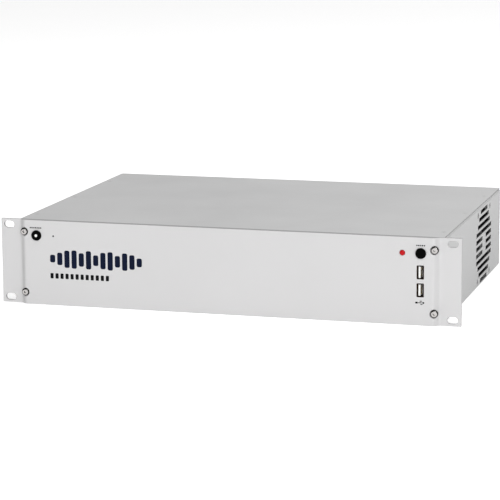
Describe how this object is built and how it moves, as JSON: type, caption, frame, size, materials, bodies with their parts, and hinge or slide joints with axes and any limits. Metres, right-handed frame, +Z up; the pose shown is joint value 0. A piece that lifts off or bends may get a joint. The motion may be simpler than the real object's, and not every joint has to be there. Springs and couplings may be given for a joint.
{
  "type": "rack effects unit",
  "caption": "Two-unit rack-mount audio effects processor with a stepped aluminium front panel, side fan vent, front controls and a rear panel of audio connectors.",
  "frame": {"origin": "centre of the bottom of the bounding box, on the level of the underside of the case and of the panel's lower edge", "axes": "+X to the right seen from the front, +Y from the front panel to the rear panel, +Z up"},
  "size_m": [0.4826, 0.3438, 0.0881],
  "materials": {
    "panel_aluminium": "fine matt blasted and clear anodised aluminium",
    "case_steel": "semi-gloss silver grey paint on sheet steel",
    "rear_steel": "matt dark grey paint on sheet steel",
    "bright_screws": "bright stainless steel",
    "zinc_screws": "zinc plated steel",
    "black_screws": "black oxide steel",
    "thumbscrew_metal": "machined, knurled",
    "button_black": "satin black moulded plastic",
    "lamp_white": "milky white light guide",
    "lamp_red": "clear red epoxy",
    "port_shell": "yellow plated steel",
    "port_tongue": "white moulded plastic",
    "nickel": "nickel plated",
    "xlr_metal": "satin nickel on die-cast zinc",
    "latch_metal": "pressed steel",
    "black_plastic": "black moulded plastic",
    "white_plastic": "natural moulded plastic",
    "fan_plastic": "glass filled black plastic",
    "motor_copper": "wound copper wire",
    "winding_tape": "yellow polyester tape over copper wire",
    "ferrite": "grey ferrite",
    "board_green": "green solder mask on glass laminate",
    "board_brown": "bare brown laminate",
    "chip_black": "black moulded package",
    "heatsink_black": "black anodised",
    "heatsink_silver": "plain extruded",
    "capacitor_sleeve": "dark blue shrink sleeve",
    "standoff_brass": "plated brass",
    "ribbon": "grey flat cable",
    "wire_red": "coloured wire insulation",
    "wire_brown": "brown and blue mains wire insulation",
    "fuse_glass": "glass tube with nickel caps"
  },
  "bodies": {
    "chassis": {"bnc_connectors": "nickel", "bnc_inserts": "white_plastic", "board_headers": "white_plastic", "board_screws": "zinc_screws", "chassis_tub": "case_steel", "connector_board": "board_green", "connector_screws": "black_screws", "control_board": "board_green", "cover_screws": "zinc_screws", "dsub_inserts": "black_plastic", "dsub_jackscrews": "bright_screws", "dsub_shells": "nickel", "fan_frame": "fan_plastic", "fan_motor": "motor_copper", "fan_screws": "zinc_screws", "front_panel": "panel_aluminium", "inlet_housing": "black_plastic", "inlet_pins": "nickel", "low_voltage_wires": "wire_red", "main_board": "board_green", "main_board_chips": "chip_black", "mains_wires": "wire_brown", "module_heatsinks": "heatsink_black", "module_sockets": "black_plastic", "network_board": "board_green", "network_port": "nickel", "option_covers": "rear_steel", "panel_nuts": "zinc_screws", "panel_screws": "bright_screws", "power_board": "board_brown", "power_capacitors": "capacitor_sleeve", "power_heatsinks": "heatsink_silver", "power_lamp": "lamp_red", "rear_panel": "rear_steel", "rear_panel_screws": "zinc_screws", "ribbon_cables": "ribbon", "rocker_frame": "black_plastic", "signal_modules": "board_green", "standoffs": "standoff_brass", "switch_bodies": "black_plastic", "thumbscrews": "thumbscrew_metal", "top_cover": "case_steel", "transformer_core": "ferrite", "transformer_winding": "winding_tape", "usb_shells": "port_shell", "usb_tongues": "port_tongue", "xlr_input_inserts": "black_plastic", "xlr_input_shells": "xlr_metal", "xlr_output_bases": "black_plastic", "xlr_output_pins": "nickel", "xlr_output_shells": "xlr_metal"},
    "power_button_body": {"power_button": "button_black"},
    "network_button_body": {"network_button": "button_black", "network_button_lens": "lamp_white"},
    "fan_rotor_body": {"fan_rotor": "fan_plastic"},
    "rocker_body": {"rocker": "black_plastic"},
    "fuse_drawer_body": {"fuse_drawer": "black_plastic", "fuse": "fuse_glass"},
    "latch_lower_body": {"xlr_latch_lower": "latch_metal"},
    "latch_upper_body": {"xlr_latch_upper": "latch_metal"}
  },
  "joints": [
    {"name": "power_button_press", "type": "slide", "parent": "chassis", "child": "power_button_body", "axis": [0, 1, 0], "range_m": [0, 0.0012], "stiffness_N_per_m": 400, "springref_m": -0.002},
    {"name": "network_button_press", "type": "slide", "parent": "chassis", "child": "network_button_body", "axis": [0, 1, 0], "range_m": [0, 0.0012], "stiffness_N_per_m": 400, "springref_m": -0.002},
    {"name": "fan_spin", "type": "hinge", "parent": "chassis", "child": "fan_rotor_body", "pos_m": [0.2095, 0.0583, 0.0424], "axis": [1, 0, 0], "continuous": true},
    {"name": "mains_rocker_tip", "type": "hinge", "parent": "chassis", "child": "rocker_body", "pos_m": [-0.146, 0.1558, 0.045], "axis": [1, 0, 0], "range_deg": [-20, 0]},
    {"name": "fuse_drawer_pull", "type": "slide", "parent": "chassis", "child": "fuse_drawer_body", "axis": [0, 1, 0], "range_m": [0, 0.02]},
    {"name": "latch_lower_press", "type": "slide", "parent": "chassis", "child": "latch_lower_body", "axis": [0, -1, 0], "range_m": [0, 0.0012], "stiffness_N_per_m": 600, "springref_m": -0.002},
    {"name": "latch_upper_press", "type": "slide", "parent": "chassis", "child": "latch_upper_body", "axis": [0, -1, 0], "range_m": [0, 0.0012], "stiffness_N_per_m": 600, "springref_m": -0.002}
  ]
}
